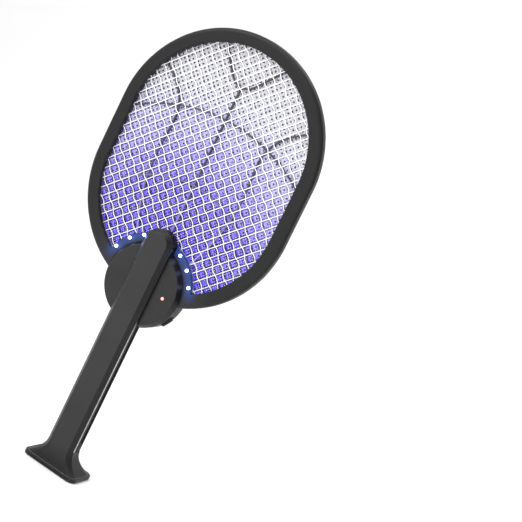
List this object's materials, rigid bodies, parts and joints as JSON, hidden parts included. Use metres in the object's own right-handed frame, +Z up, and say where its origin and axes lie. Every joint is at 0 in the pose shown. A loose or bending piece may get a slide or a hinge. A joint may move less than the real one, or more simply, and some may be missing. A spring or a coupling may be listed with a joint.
{
  "type": "electric fly swatter",
  "caption": "Racket-shaped insect zapper whose screened head slides along a bar handle with a flared foot, so it reaches as a swatter or stands short as a lamp.",
  "frame": {"origin": "centre of the foot's underside, where the object stands", "axes": "+Z up along the handle, -Y towards the front face of the handle, +X to the right seen from the front"},
  "size_m": [0.212, 0.04, 0.4515],
  "materials": {
    "shell_plastic": "charcoal moulded plastic with a fine satin grain",
    "rail_plastic": "black moulded plastic, slightly glossy",
    "guard_wire": "bright expanded metal",
    "grid_wire": "bright fine metal mesh",
    "web_plastic": "dark grey moulded insulator",
    "foot_rubber": "soft black rubber",
    "steel_screw": "zinc plated steel",
    "lamp_lens": "clear violet-blue lamp dome",
    "indicator_lens": "red translucent light pipe",
    "circuit_board": "green solder mask",
    "cell_wrap": "silver film wrap",
    "ferrite": "dark ferrite and amber tape",
    "component_case": "glossy dark component cases",
    "wire_red": "red wire insulation",
    "wire_grey": "grey wire insulation",
    "socket_metal": "bright stamped socket shell"
  },
  "bodies": {
    "handle": {"handle_front_shell": "shell_plastic", "handle_rail": "rail_plastic", "handle_screws": "steel_screw", "foot_base_plate": "rail_plastic", "foot_base_screws": "steel_screw", "foot_pad": "foot_rubber"},
    "head": {"front_housing": "shell_plastic", "rear_housing": "shell_plastic", "front_guard_mesh": "guard_wire", "rear_guard_mesh": "guard_wire", "high_voltage_grid": "grid_wire", "front_spacer_web": "web_plastic", "rear_spacer_web": "web_plastic", "uv_lamps": "lamp_lens", "lamp_boards": "circuit_board", "main_board": "circuit_board", "battery_cell": "cell_wrap", "battery_leads": "wire_red", "step_up_transformer": "ferrite", "storage_capacitor": "component_case", "rectifier_diodes": "component_case", "grid_lead": "wire_red", "guard_leads": "wire_grey", "charging_socket": "socket_metal", "mode_switch_body": "socket_metal", "indicator_lamp": "component_case", "indicator_light_pipe": "indicator_lens", "hub_screws": "steel_screw", "rim_screws": "steel_screw"},
    "mode_switch": {"mode_switch_knob": "rail_plastic"}
  },
  "joints": [
    {"name": "head_slide", "type": "slide", "parent": "handle", "child": "head", "axis": [0, 0, 1], "range_m": [-0.129, 0]},
    {"name": "mode_switch_slide", "type": "slide", "parent": "head", "child": "mode_switch", "axis": [0.515, 0, 0.8572], "range_m": [-0.002, 0.002]}
  ]
}
